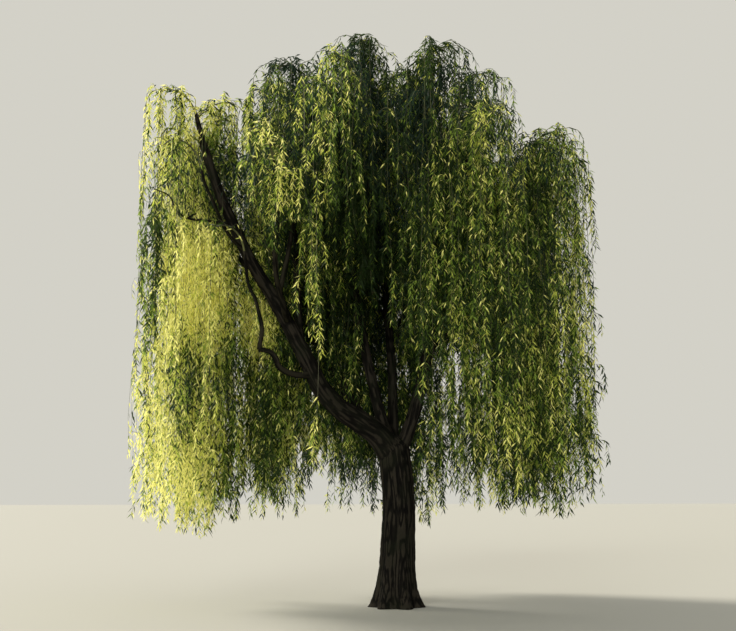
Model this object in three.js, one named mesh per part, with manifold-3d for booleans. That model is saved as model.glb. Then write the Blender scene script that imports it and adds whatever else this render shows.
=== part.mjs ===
// A weeping willow about 14 m tall: a stout trunk that forks at 4 m, one great bough that leans
// far out to the left with a crooked arm below it, five more boughs round it, and curtains of
// hanging shoots on all sides. Millimetres, +Z up, +X right, -Y front. The origin is the middle
// of the flat cut under the trunk, at ground level.
import * as THREE from "three";
import { mergeVertices } from "three/addons/utils/BufferGeometryUtils.js";
import Module from "manifold-3d";

const wasm = await Module();
wasm.setup();

const METRE = 1000;
const UP = new THREE.Vector3(0, 0, 1);
const GOLDEN_ANGLE = Math.PI * (3 - Math.sqrt(5));
const JOINT_GAP = 0.3; // clear space where two limbs, or a limb and a mass, meet
const LIMB_TOLERANCE = 0.1; // corners closer to a flat face than this are dropped
const MASS_TOLERANCE = 1; // the same within a mass

// The trunk
const TRUNK_HEIGHT = 4200;
const TRUNK_OFFCUT = 60; // below the ground, trimmed off to leave the flat cut
const TRUNK_RADIUS = 430; // above the root flare
const TRUNK_TOP_RADIUS = 395; // just under the fork
const FLARE_RADIUS = 190; // what the root flare adds at the ground
const FLARE_HEIGHT = 420; // over which most of the flare dies away
const ROOT_LOBES = 6;
const LOBE_DEPTH = 0.17; // at the ground, as a share of the radius
const LOBE_HEIGHT = 700; // over which most of the lobes die away
const TRUNK_LEAN = -110; // how far its top stands to the left
const TRUNK_BOW = 70; // how far its middle bows to the right
const TRUNK_LEVELS = [0.12, 0.35, 0.6, 0.85, 1]; // shares of its height that shape its curve
const LEAN_SHARES = [0, 0, 0, 0, 0.3, 1]; // of its lean, at the cut and at each level
const BOW_SHARES = [0, 0, 0.6, 1, 0.2, 0]; // of its bow, at the same places
const DOME_SHARE = 0.1; // of its height, rounded off at the fork
const DOME_FLATNESS = 0.12; // of the radius squared, left at the very top
const TRUNK_SIDES = 18;
const TRUNK_STEPS = 12;

// The crown, as a dome over an oval
const CROWN_MIDDLE = new THREE.Vector2(-700, 100);
const CROWN_RADIUS = new THREE.Vector2(6050, 5750);
const CROWN_TOP = 14200;
const CROWN_SHOULDER = 6200;
const DOME_FALL = 0.94; // how far the dome has fallen to its shoulder at the oval's edge
const DOME_ROUGHNESS = 700; // how far boughs end above or below the even dome
const TIP_DEPTH = 800; // a bough's tip lies this far under the dome
const TIP_SETBACK = 450; // and this far inside the middle of its mass

// Boughs
const COURSE_STEPS = 6;
const SPREAD_POWER = 1.6; // a bough spreads out first
const RISE_POWER = 1.25; // and turns up later
const SWAY = 0.035; // sideways wander, as a share of its spread
const COLLAR_SHARE = 0.3; // swelling at a bough's foot, as a share of its radius
const COLLAR_LENGTH = 2.2; // in foot radii
const TIP_RADIUS = 34;
const TAPER_POWER = 0.8;
const THICK_RADIUS = 100; // a bough at least this thick has THICK_SIDES and more steps
const THICK_SIDES = 8;
const THIN_SIDES = 6;
const MANY_STEPS = 9;
const FEW_STEPS = 5;

// Hanging shoots and their leaves
const STEM_RADIUS = 30;
const STEM_END_RADIUS = 16;
const STEM_REACH = 1000;
const STEM_STEPS = 3;
const STEM_LEGS = [[0.55, 0], [0.75, 0.5], [0.35, 0.9]]; // of its curve: on along the bough, and out
const SHOOTS_FROM = 0.15; // along a stem, where its shoots begin
const SHOOTS_OVER = 0.8; // the share of a stem that carries shoots
const SHOOTS = 6; // of a mass: the last one carries the stem on outward
const SHOOT_RADIUS = 16;
const SHOOT_END_RADIUS = 10;
const SHOOT_THROW = 900; // the furthest that a shoot arches away from its stem
const SHORTEST_THROW = 0.2; // of that, for a shoot in a narrow place
const THROW_STEP = 0.8; // each try arches this much less far than the last
const SHOOT_LEGS = [[0.6, -0.02], [1, 0.08], [1, 1]]; // out by its throw, and down by its drop
const SHOOT_ROOM = 150; // kept free between a shoot and the edge of its mass's space
const HEM_UNEVENNESS = 900; // how far above the hem a shoot may end
const TWIG_SIDES = 3;
const LEAF_SPACING = 2300; // along a shoot: each leaf stands for a spray
const FIRST_LEAF = 0.07; // along a shoot, as a share of its length
const FEWEST_LEAVES = 3; // on a shoot
const LEAF_LENGTH = 1050;
const LEAF_WIDTH = 240;
const LEAF_THICKNESS = 36;
const LEAF_WIDEST = 0.42; // of its length
const LEAF_SPLAY = 0.36; // how far a leaf stands out from the vertical, as a tangent
const LEAF_REACH = 0.95; // how far down a leaf hangs, as a share of its length
const LEAF_SUNK = 4; // how far its root goes past the middle of the shoot
const LEAF_ROOM = 8; // kept free between a leaf and the edge of its mass's space
const LEAF_FACES = [0, 2, 1, 0, 1, 3, 0, 3, 2, 1, 2, 3]; // of its root, tip and two edges

const BARK = new THREE.MeshStandardMaterial({ color: 0x3b3027, roughness: 0.95, metalness: 0 });
const YOUNG_BARK = new THREE.MeshStandardMaterial({ color: 0x55503a, roughness: 0.9, metalness: 0 });
const LEAF_GREEN = new THREE.MeshStandardMaterial({ color: 0x8fa32c, roughness: 0.6, metalness: 0 });

// The courses of the great bough, of its crooked arm and of the thin branch that leaves it high
// up: x, y, z and radius, in metres
const GREAT_BOUGH_COURSE = [
  [-0.48, -0.08, 4.2, 0.28],
  [-0.98, -0.18, 4.53, 0.272],
  [-1.51, -0.27, 4.84, 0.252],
  [-1.98, -0.38, 5.29, 0.233],
  [-2.34, -0.46, 5.92, 0.205],
  [-2.82, -0.55, 6.77, 0.184],
  [-3.33, -0.63, 7.6, 0.165],
  [-3.84, -0.7, 8.37, 0.15],
  [-4.42, -0.78, 9.5, 0.137],
  [-4.74, -0.83, 10.23, 0.127],
  [-5.09, -0.9, 11.24, 0.104],
  [-5.3, -0.93, 12, 0.034],
];
const CROOKED_ARM_COURSE = [
  [-2.61, -0.64, 5.6, 0.078],
  [-2.91, -0.8, 5.65, 0.076],
  [-3.14, -0.9, 5.77, 0.074],
  [-3.22, -0.96, 5.95, 0.072],
  [-3.37, -1, 6.11, 0.066],
  [-3.64, -1.04, 6.15, 0.06],
];
const ARM_TIP_COURSE = [
  [-3.6, -1.08, 6.41, 0.053],
  [-3.59, -1.12, 6.69, 0.051],
  [-3.68, -1.17, 7.03, 0.048],
  [-3.79, -1.22, 7.38, 0.045],
  [-3.96, -1.3, 7.7, 0.041],
  [-4.1, -1.65, 8.4, 0.034],
];
const TWIGGY_COURSE = [
  [-4.72, -0.82, 9.28, 0.034],
  [-5.02, -0.86, 9.3, 0.03],
  [-5.43, -0.9, 9.32, 0.028],
  [-5.7, -0.94, 9.5, 0.023],
  [-5.8, -0.96, 9.74, 0.02],
  [-5.93, -0.98, 9.87, 0.017],
  [-6.23, -1.02, 9.96, 0.013],
];
const TWIG_STUB_COURSE = [
  [-5.31, -0.9, 9.39, 0.022],
  [-5.21, -0.9, 9.45, 0.014],
];

// Each bough in order: its parent, where along the parent it leaves, and its radius there in
// millimetres. Then the middle of the mass over its tip, and the height of that mass's lowest
// shoots, in metres.
const BOUGHS = [
  { name: "great_bough", parent: "trunk", at: 0.86, radius: 285, over: [-5.3, -0.7], hem: 2.2 },
  { name: "upright_bough", parent: "trunk", at: 0.9, radius: 158, over: [-1.7, 0.9], hem: 3.6 },
  { name: "right_bough", parent: "trunk", at: 0.85, radius: 182, over: [2.2, 1.1], hem: 6.4 },
  { name: "back_bough", parent: "trunk", at: 0.88, radius: 148, over: [0.5, 2.9], hem: 3 },
  { name: "front_bough", parent: "trunk", at: 0.84, radius: 140, over: [1.9, -1.2], hem: 6.8 },
  { name: "rear_left_bough", parent: "trunk", at: 0.92, radius: 142, over: [-3.3, 2.4], hem: 2.6 },
  { name: "crooked_arm", parent: "great_bough", at: 0.3, radius: 84 },
  { name: "crooked_arm_tip", parent: "crooked_arm", at: 1, radius: 56, over: [-4.3, -2.2], hem: 2.4 },
  { name: "twiggy_branch", parent: "great_bough", at: 0.715, radius: 38 },
  { name: "inner_left_branch", parent: "great_bough", at: 0.38, radius: 122, over: [-3.1, 0.6], hem: 2.8 },
  { name: "middle_left_branch", parent: "great_bough", at: 0.5, radius: 72, over: [-3, -1.3], hem: 8.9 },
  { name: "low_left_branch", parent: "great_bough", at: 0.57, radius: 84, over: [-5.4, 1.1], hem: 1.8 },
  { name: "fine_left_branch", parent: "great_bough", at: 0.64, radius: 46, over: [-5.6, -2.4], hem: 1.9 },
  { name: "front_left_branch", parent: "great_bough", at: 0.44, radius: 80, over: [-4, -4], hem: 2.3 },
  { name: "top_right_branch", parent: "upright_bough", at: 0.5, radius: 84, over: [0.3, 0.3], hem: 8.2 },
  { name: "top_back_branch", parent: "upright_bough", at: 0.62, radius: 72, over: [-1.4, 2.8], hem: 3.4 },
  { name: "top_front_branch", parent: "upright_bough", at: 0.56, radius: 76, over: [-1.1, -1.1], hem: 7.8 },
  { name: "front_window_branch", parent: "upright_bough", at: 0.44, radius: 70, over: [-2.1, -3], hem: 8 },
  { name: "right_branch", parent: "right_bough", at: 0.4, radius: 92, over: [4.1, 0.5], hem: 2.2 },
  { name: "right_back_branch", parent: "right_bough", at: 0.52, radius: 84, over: [3.4, 2.6], hem: 2.3 },
  { name: "right_front_branch", parent: "right_bough", at: 0.34, radius: 80, over: [3.8, -1.6], hem: 2.6 },
  { name: "far_back_branch", parent: "back_bough", at: 0.46, radius: 82, over: [-0.3, 4.7], hem: 2.3 },
  { name: "back_right_branch", parent: "back_bough", at: 0.34, radius: 80, over: [1.8, 4.2], hem: 2 },
  { name: "front_branch", parent: "front_bough", at: 0.36, radius: 78, over: [0.9, -4.3], hem: 2.6 },
  { name: "front_right_branch", parent: "front_bough", at: 0.46, radius: 78, over: [2.8, -3.4], hem: 2.4 },
  { name: "front_inner_branch", parent: "front_bough", at: 0.56, radius: 64, over: [0.4, -2.4], hem: 6.2 },
  { name: "rear_left_branch", parent: "rear_left_bough", at: 0.5, radius: 76, over: [-4.9, 3], hem: 1.9 },
  { name: "back_left_branch", parent: "rear_left_bough", at: 0.34, radius: 74, over: [-2.5, 4.5], hem: 2.1 },
  { name: "twig_stub", parent: "twiggy_branch", at: 0.5, radius: 27 },
];
const COURSES = {
  great_bough: GREAT_BOUGH_COURSE,
  crooked_arm: CROOKED_ARM_COURSE,
  crooked_arm_tip: ARM_TIP_COURSE,
  twiggy_branch: TWIGGY_COURSE,
  twig_stub: TWIG_STUB_COURSE,
};

// A number from 0 to 1 that looks random and is the same each time.
function chance(index, salt) {
  const wave = Math.sin(index * 12.9898 + salt * 78.233) * 43758.5453;
  return wave - Math.floor(wave);
}

// A closed solid from a geometry whose faces share their corners.
function solidOf(geometry) {
  geometry.deleteAttribute("normal");
  geometry.deleteAttribute("uv");
  const merged = mergeVertices(geometry, 1e-3);
  return new wasm.Manifold(
    new wasm.Mesh({
      numProp: 3,
      vertProperties: new Float32Array(merged.getAttribute("position").array),
      triVerts: new Uint32Array(merged.index.array),
    }),
  );
}

function geometryOf(solid) {
  const made = solid.getMesh();
  const geometry = new THREE.BufferGeometry();
  geometry.setAttribute("position", new THREE.BufferAttribute(new Float32Array(made.vertProperties), 3));
  geometry.setIndex(new THREE.BufferAttribute(new Uint32Array(made.triVerts), 1));
  return geometry;
}

// The largest body of a solid, with the corners that its cuts and unions left over dropped. It is
// taken once corners that nearly touch are merged, as that can pinch off a hollow.
function tidied(solid, tolerance) {
  const bodies = solidOf(geometryOf(solid.asOriginal().simplify(tolerance))).decompose();
  return bodies.reduce((best, body) => (body.volume() > best.volume() ? body : best));
}

function meshOf(name, solid, material) {
  const geometry = geometryOf(solid);
  geometry.computeVertexNormals();
  const mesh = new THREE.Mesh(geometry, material);
  mesh.name = name;
  return mesh;
}

// A closed round limb through points. radiusAt gives its radius from the share of its steps and
// the angle round it. A grown limb is larger on all sides and at both ends.
function tube(points, sides, radiusAt, grow = 0) {
  const last = points.length - 1;
  const geometry = new THREE.CylinderGeometry(1, 1, 1, sides, last);
  const ways = points.map((point, i) => {
    const before = points[Math.max(i - 1, 0)];
    const after = points[Math.min(i + 1, last)];
    return after.clone().sub(before).normalize();
  });
  const normals = [new THREE.Vector3(1, 0.2, 0.1)];
  for (const way of ways) {
    const turned = normals.at(-1).clone();
    normals.push(turned.addScaledVector(way, -way.dot(turned)).normalize());
  }
  const corners = geometry.getAttribute("position");
  for (let i = 0; i < corners.count; i++) {
    const ring = Math.round((corners.getY(i) + 0.5) * last);
    const normal = normals[ring + 1];
    const radius = radiusAt(ring / last, Math.atan2(corners.getZ(i), corners.getX(i))) + grow;
    const endward = Math.max(0, ring - last + 1) - Math.max(0, 1 - ring);
    const place = points[ring].clone();
    place.addScaledVector(ways[ring], grow * endward);
    place.addScaledVector(ways[ring].clone().cross(normal), corners.getX(i) * radius);
    place.addScaledVector(normal, corners.getZ(i) * radius);
    corners.setXYZ(i, place.x, place.y, place.z);
  }
  return solidOf(geometry);
}

// A smooth curve through points.
function curveThrough(points) {
  return new THREE.CatmullRomCurve3(points, false, "catmullrom");
}

// The straight-sided line through points, which gives a point and a direction by share of length.
function lineThrough(points) {
  const line = new THREE.CurvePath();
  for (let i = 1; i < points.length; i++) line.add(new THREE.LineCurve3(points[i - 1], points[i]));
  return line;
}

// How far out over the crown's oval a point lies, squared: 0 in the middle, and 1 at a stated
// room inside the edge.
function outwardness(x, y, room = 0) {
  const across = (x - CROWN_MIDDLE.x) / (CROWN_RADIUS.x - room);
  const deep = (y - CROWN_MIDDLE.y) / (CROWN_RADIUS.y - room);
  return across ** 2 + deep ** 2;
}

function domeHeight(x, y) {
  return CROWN_SHOULDER + (CROWN_TOP - CROWN_SHOULDER) * Math.sqrt(1 - DOME_FALL * outwardness(x, y));
}

// The trunk leans a little to the left at its top and bows to the right below.
function trunkCurve() {
  const levels = [-TRUNK_OFFCUT, ...TRUNK_LEVELS.map((share) => share * TRUNK_HEIGHT)];
  const aside = BOW_SHARES.map((share, i) => share * TRUNK_BOW + LEAN_SHARES[i] * TRUNK_LEAN);
  return curveThrough(levels.map((level, i) => new THREE.Vector3(aside[i], 0, level)));
}

// The trunk tapers to its fork, spreads in root lobes at the ground and is rounded at its top.
function trunkRadius(share, angle) {
  const height = share * (TRUNK_HEIGHT + TRUNK_OFFCUT) - TRUNK_OFFCUT;
  const taper = TRUNK_RADIUS + (TRUNK_TOP_RADIUS - TRUNK_RADIUS) * share;
  const flare = FLARE_RADIUS * Math.exp(-height / FLARE_HEIGHT);
  const lobe = 1 + LOBE_DEPTH * Math.exp(-height / LOBE_HEIGHT) * Math.cos(ROOT_LOBES * angle);
  const overDome = Math.max(0, (share - 1 + DOME_SHARE) / DOME_SHARE);
  return (taper + flare) * lobe * Math.sqrt(1 - (1 - DOME_FLATNESS) * overDome ** 2);
}

// A bough's radius: measured along its course, or else an even taper, and swollen at its foot.
function boughRadius(bough, share) {
  const foot = bough.radius;
  let radius = TIP_RADIUS + (foot - TIP_RADIUS) * (1 - share) ** TAPER_POWER;
  const course = COURSES[bough.name];
  if (course) {
    const radii = [foot, ...course.map((point) => point[3] * METRE)];
    const place = bough.curve.getUtoTmapping(share) * (radii.length - 1);
    const i = Math.min(Math.floor(place), radii.length - 2);
    radius = radii[i] + (radii[i + 1] - radii[i]) * (place - i);
  }
  if (bough.at === 1) return radius;
  const collar = Math.exp((-share * bough.curve.getLength()) / (COLLAR_LENGTH * foot));
  return radius + COLLAR_SHARE * foot * collar;
}

// Where a bough ends: under the dome, a little inside the middle of its mass.
function tipOf(bough, index) {
  const tip = new THREE.Vector2(...bough.over).multiplyScalar(METRE);
  tip.addScaledVector(tip.clone().sub(CROWN_MIDDLE).normalize(), -TIP_SETBACK);
  const unevenness = DOME_ROUGHNESS * (chance(index, 2) - 0.5);
  return new THREE.Vector3(tip.x, tip.y, domeHeight(tip.x, tip.y) - TIP_DEPTH + unevenness);
}

// A bough without a measured course spreads from its parent and then turns up to its tip.
function boughCurve(bough, start, index) {
  const course = COURSES[bough.name];
  if (course) {
    const measured = course.map(([x, y, z]) => new THREE.Vector3(x, y, z).multiplyScalar(METRE));
    return curveThrough([start, ...measured]);
  }
  const way = tipOf(bough, index).sub(start);
  const spread = new THREE.Vector3(way.x, way.y, 0);
  const side = new THREE.Vector3().crossVectors(UP, spread);
  const points = [];
  for (let i = 0; i <= COURSE_STEPS; i++) {
    const t = i / COURSE_STEPS;
    const point = start.clone();
    point.addScaledVector(spread, 1 - (1 - t) ** SPREAD_POWER);
    const wander = Math.sin(Math.PI * 2 * (t + chance(index, 1))) * Math.sin(Math.PI * t);
    point.addScaledVector(side, SWAY * wander);
    point.addScaledVector(UP, way.z * t ** RISE_POWER);
    points.push(point);
  }
  return curveThrough(points);
}

// The limbs in order, each cut 0.3 mm clear of all that came before it. keptClear is the space
// that they take up together, with that gap round it.
const trunkPoints = trunkCurve().getSpacedPoints(TRUNK_STEPS);
const trunkSolid = tube(trunkPoints, TRUNK_SIDES, trunkRadius).trimByPlane([0, 0, 1], 0);
const limbs = new Map();
limbs.set("trunk", { curve: trunkCurve(), solid: trunkSolid });
let keptClear = tube(trunkPoints, TRUNK_SIDES, trunkRadius, JOINT_GAP);
BOUGHS.forEach((bough, index) => {
  bough.curve = boughCurve(bough, limbs.get(bough.parent).curve.getPointAt(bough.at), index);
  const thick = bough.radius >= THICK_RADIUS;
  const points = bough.curve.getSpacedPoints(thick || COURSES[bough.name] ? MANY_STEPS : FEW_STEPS);
  const sides = thick ? THICK_SIDES : THIN_SIDES;
  const radiusAt = (share) => boughRadius(bough, share);
  bough.solid = tidied(tube(points, sides, radiusAt).subtract(keptClear), LIMB_TOLERANCE);
  keptClear = keptClear.add(tube(points, sides, radiusAt, JOINT_GAP));
  limbs.set(bough.name, bough);
});

// A mass keeps to the ground's points that lie nearer to its own middle than to another's, and
// inside the crown's oval.
const MASSES = BOUGHS.filter((bough) => bough.over);
function inOwnSpace(mass, point, room) {
  if (outwardness(point.x, point.y, room) > 1) return false;
  const middle = new THREE.Vector2(...mass.over).multiplyScalar(METRE);
  return MASSES.every((other) => {
    if (other === mass) return true;
    const apart = new THREE.Vector2(...other.over).multiplyScalar(METRE).sub(middle);
    const half = apart.length() / 2;
    return new THREE.Vector2(point.x, point.y).sub(middle).dot(apart.normalize()) < half - room;
  });
}

// The way out from the crown's middle over a mass, as an angle.
function outwardAngle(mass) {
  return Math.atan2(mass.over[1] * METRE - CROWN_MIDDLE.y, mass.over[0] * METRE - CROWN_MIDDLE.x);
}

function levelWay(angle) {
  return new THREE.Vector3(Math.cos(angle), Math.sin(angle), 0);
}

// The stem of a mass carries its bough's tip on, arches outward and bends down.
function stemPoints(mass) {
  const along = mass.curve.getTangentAt(1);
  const outward = levelWay(outwardAngle(mass));
  const foot = mass.curve.getPointAt(1).addScaledVector(along, -STEM_RADIUS);
  const legs = STEM_LEGS.map(([rise, out]) => {
    const point = foot.clone().addScaledVector(along, STEM_REACH * rise);
    return point.addScaledVector(outward, STEM_REACH * out);
  });
  return new THREE.CubicBezierCurve3(foot, ...legs).getSpacedPoints(STEM_STEPS);
}

// A shoot arches away from the stem and hangs straight down to its end.
function shootPoints(start, side, reach, end) {
  const drop = start.z - end;
  const legs = SHOOT_LEGS.map(([out, down]) => {
    const point = start.clone().addScaledVector(side, reach * out);
    return point.addScaledVector(UP, -drop * down);
  });
  return [start, ...legs];
}

function twig(points, from, to) {
  return tube(points, TWIG_SIDES, (share) => from + (to - from) * share);
}

function touchesLimb(solid) {
  return solid.intersect(keptClear).volume() > 0;
}

// The widest shoot from a start that stays in its mass's space and clear of the limbs, or null.
function fittedShoot(mass, start, side, end) {
  for (let reach = SHOOT_THROW; reach > SHOOT_THROW * SHORTEST_THROW; reach *= THROW_STEP) {
    const points = shootPoints(start, side, reach, end);
    const inside = points.every((point) => inOwnSpace(mass, point, SHOOT_ROOM));
    if (inside && !touchesLimb(twig(points, 2 * SHOOT_RADIUS, 2 * SHOOT_RADIUS))) return points;
  }
  return null;
}

// A leaf blade of four flat faces, folded along its midrib: a root, a tip and two edges.
function leafCorners(root, way, turn) {
  const across = new THREE.Vector3().crossVectors(way, turn).normalize();
  const under = new THREE.Vector3().crossVectors(way, across).normalize();
  const foot = root.clone().addScaledVector(way, -LEAF_SUNK);
  const waist = foot.clone().addScaledVector(way, LEAF_LENGTH * LEAF_WIDEST);
  waist.addScaledVector(under, LEAF_THICKNESS);
  return [
    foot,
    foot.clone().addScaledVector(way, LEAF_LENGTH),
    waist.clone().addScaledVector(across, LEAF_WIDTH / 2),
    waist.clone().addScaledVector(across, -LEAF_WIDTH / 2),
  ];
}

// The leaves of a shoot all hang, and the last one reaches its end.
function leavesOf(mass, points, salt) {
  const line = lineThrough(points);
  const count = Math.max(FEWEST_LEAVES, Math.round(line.getLength() / LEAF_SPACING));
  const lastAt = 1 - (LEAF_REACH * LEAF_LENGTH) / line.getLength();
  const leaves = [];
  for (let j = 0; j < count; j++) {
    const at = FIRST_LEAF + (lastAt - FIRST_LEAF) * (j / (count - 1));
    const turn = levelWay(j * GOLDEN_ANGLE + Math.PI * 2 * chance(salt, 5));
    const way = turn.clone().multiplyScalar(LEAF_SPLAY).sub(UP).normalize();
    const corners = leafCorners(line.getPoint(at), way, turn);
    if (!corners.every((point) => inOwnSpace(mass, point, LEAF_ROOM))) continue;
    const geometry = new THREE.BufferGeometry().setFromPoints(corners);
    geometry.setIndex(LEAF_FACES);
    const leaf = solidOf(geometry);
    if (!touchesLimb(leaf)) leaves.push(leaf);
  }
  return leaves;
}

// One mass: a stem, hanging shoots all round it, and leaves down each shoot.
function growMass(mass, index) {
  const points = stemPoints(mass);
  const stem = lineThrough(points);
  const pieces = [twig(points, STEM_RADIUS, STEM_END_RADIUS).subtract(keptClear)];
  for (let k = 0; k < SHOOTS; k++) {
    const start = stem.getPoint(SHOOTS_FROM + (SHOOTS_OVER * (k + 0.5)) / SHOOTS);
    const turn = k === SHOOTS - 1 ? 0 : (k + 1) * GOLDEN_ANGLE;
    const end = mass.hem * METRE + HEM_UNEVENNESS * chance(index, k + 7);
    const shoot = fittedShoot(mass, start, levelWay(outwardAngle(mass) + turn), end);
    if (!shoot) continue;
    pieces.push(twig(shoot, SHOOT_RADIUS, SHOOT_END_RADIUS));
    pieces.push(...leavesOf(mass, shoot, index * SHOOTS + k));
  }
  const joined = tidied(wasm.Manifold.union(pieces), MASS_TOLERANCE);
  return tidied(joined.subtract(keptClear), LIMB_TOLERANCE);
}

const willow = new THREE.Group();
willow.add(meshOf("trunk", limbs.get("trunk").solid, BARK));
for (const bough of BOUGHS) {
  willow.add(meshOf(bough.name, bough.solid, bough.radius >= THICK_RADIUS ? BARK : YOUNG_BARK));
}
MASSES.forEach((mass, index) => {
  willow.add(meshOf("foliage_" + mass.name, growMass(mass, index), LEAF_GREEN));
});

export default willow;
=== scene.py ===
"""Looks of the weeping willow: barked limbs, hanging shoots, side strands and leaves.

Everything is in metres in the model's own frame: +Z up, +X right, -Y front, and the origin in
the middle of the trunk's flat cut at ground level.
"""

import math

import bpy
import numpy as np
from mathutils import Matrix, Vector
from mathutils.kdtree import KDTree


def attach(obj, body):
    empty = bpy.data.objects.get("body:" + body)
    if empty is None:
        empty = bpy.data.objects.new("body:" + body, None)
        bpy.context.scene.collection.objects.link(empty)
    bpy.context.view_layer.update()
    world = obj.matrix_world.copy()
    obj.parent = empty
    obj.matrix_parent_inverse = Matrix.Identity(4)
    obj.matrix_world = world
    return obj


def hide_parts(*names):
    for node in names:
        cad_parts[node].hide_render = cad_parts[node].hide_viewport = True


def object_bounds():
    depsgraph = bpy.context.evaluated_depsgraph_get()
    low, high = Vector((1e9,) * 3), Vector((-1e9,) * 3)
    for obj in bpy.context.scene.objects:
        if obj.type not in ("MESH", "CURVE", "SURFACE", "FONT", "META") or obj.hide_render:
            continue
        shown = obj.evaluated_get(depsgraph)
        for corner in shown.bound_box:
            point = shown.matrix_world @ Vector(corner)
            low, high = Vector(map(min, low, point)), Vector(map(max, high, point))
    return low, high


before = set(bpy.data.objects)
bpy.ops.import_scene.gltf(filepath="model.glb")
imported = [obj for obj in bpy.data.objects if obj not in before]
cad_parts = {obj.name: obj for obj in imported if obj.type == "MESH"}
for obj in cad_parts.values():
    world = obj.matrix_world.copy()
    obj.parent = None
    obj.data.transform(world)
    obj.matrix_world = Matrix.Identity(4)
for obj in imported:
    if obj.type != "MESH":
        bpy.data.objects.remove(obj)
cad_low, cad_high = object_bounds()

SEED = 11
UP = np.array([0.0, 0.0, 1.0])
GOLDEN_ANGLE = math.pi * (3 - math.sqrt(5))
TINY = 1e-9  # keeps a division from going by zero
CURVE_DIVISIONS = 200
WAY_STEP = 1e-3  # before and after a share of a curve, to measure its way there

# The wave behind chance(), and the salt of each of its uses
CHANCE_STEPS = (12.9898, 78.233)
CHANCE_SCALE = 43758.5453
SWAY_SALT = 1
TIP_SALT = 2
TIP_SHOOT_SALT = 7
STEM_PLACE_SALT = 21
STEM_REACH_SALT = 31
THROW_SALT = 50
LIMB_SHOOT_SALTS = (61, 71, 81, 91)
SIDE_SHOOT_SALT = 107
SIDE_SHOOT_SALT_STEP = 10

# Smooth noise: its table, and each use's scale and where it begins
NOISE_SEED = 7
NOISE_VALUES = 4096
NOISE_PRIMES = np.array([73856093, 19349663, 83492791])
RIDGE_WANDERS = [(0.4, 9), (0.4, 31)]
FINE_RIDGES = (2.1, 17)
CRACKS = ((1, 1, 4), 50)
LIGHT_PATCHES = ((0.6, 0.6, 0.3), 40)
LIGHT_STREAKS = ((2.6, 2.6, 0.5), 80)
LIGHT_COLUMNS = ((4, 4, 0.6), 160)
COOL_PARTS = (0.4, 120)

# The trunk
TRUNK_HEIGHT = 4.2
TRUNK_OFFCUT = 0.06  # the rule's curve starts this far below the flat cut
TRUNK_RADIUS = 0.43
TRUNK_TOP_RADIUS = 0.395
FLARE_RADIUS = 0.19
FLARE_HEIGHT = 0.42
ROOT_LOBES = 6
LOBE_DEPTH = 0.17
LOBE_HEIGHT = 0.7
TRUNK_LEAN = -0.11
TRUNK_BOW = 0.07
TRUNK_LEVELS = np.array([0.12, 0.35, 0.6, 0.85, 1])  # of its course, as shares of its height
BOW_SHARES = np.array([0, 0, 0.6, 1, 0.2, 0])  # from the offcut's end up
LEAN_SHARES = np.array([0, 0, 0, 0, 0.3, 1])
DOME_SHARE = 0.1
DOME_FLATNESS = 0.12

# The crown, as a dome over an oval
CROWN_MIDDLE = np.array([-0.7, 0.1])
CROWN_RADIUS = np.array([6.05, 5.75])
CROWN_TOP = 14.2
CROWN_SHOULDER = 6.2
DOME_FALL = 0.94
DOME_ROUGHNESS = 0.7
TIP_DEPTH = 0.8
TIP_SETBACK = 0.45

# Boughs
COURSE_STEPS = 6
SPREAD_POWER = 1.6
RISE_POWER = 1.25
SWAY = 0.035
COLLAR_SHARE = 0.3
COLLAR_LENGTH = 2.2
TIP_RADIUS = 0.034
TAPER_POWER = 0.8
THICK_RADIUS = 0.1

# Bark relief
TRUNK_SIDES = 180
TRUNK_RINGS = 150
GREAT_SIDES = 64
THICK_SIDES = 30
THIN_SIDES = 14
RING_SPACING = 0.06  # along a thick bough
THIN_RING_SPACING = 0.12
FEWEST_RINGS = 8
END_RING_SCALE = 1e-3  # of the ring that closes a limb's end
FIRST_NORMAL = np.array([1, 0.2, 0.1])
LEVEL_NUDGE = np.array([1e-6, 0, 0])  # for a quite upright twig
BARK_DEPTH = 0.03  # of the trunk's fissures
DEPTH_PER_RADIUS = 0.09  # on thinner limbs
PLAIN_RELIEF = 0.7  # the relief at a limb's plain radius
TRUNK_GRAIN = np.array([3.0, 5.0, 0.0])  # where in the noise the trunk's grain begins
BOUGH_GRAIN = np.array([0.0, 11.0, 0.0])
BOUGH_GRAIN_STEP = np.array([7.0, 0.0, 2.0])
RIDGE_SIZE = np.array([0.05, 0.05, 0.36])  # across a ridge twice, and along it
RIDGE_GAIN = 1.9
RIDGE_POWER = 0.7
FINE_GAIN = 1.8
WANDER = 0.9  # of the ridges, in their own widths
RELIEF_SHARES = (0.55, 0.3, 0.15)  # of the plain ridges, the fine ones and the cracks

# Hanging shoots
TUBE_SIDES = 3
STEM_RADIUS = 0.03
STEM_END_RADIUS = 0.016
STEM_REACH = 1.0
STEM_POINTS = 9
STEM_LEGS = [(0, 0), (0.55, 0), (0.75, 0.5), (0.35, 0.9)]  # along and outward, in reaches
TIP_SHOOTS = 12  # of the stem that carries a bough on
SIDE_STEMS = 5  # that leave the last part of each bough
SIDE_STEM_SHARES = (0.62, 0.34)  # of the bough: where that part begins, and how much it is
SIDE_STEM_SHOOTS = 5
SIDE_STEM_RADIUS = 0.02
SIDE_STEM_RISE = 0.7
SIDE_STEM_SPREAD = 0.5
SIDE_STEM_REACH = (0.6, 1.05)
SHORTEST_REACH = 0.3
SHORTER = 0.85  # at each next try
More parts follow.
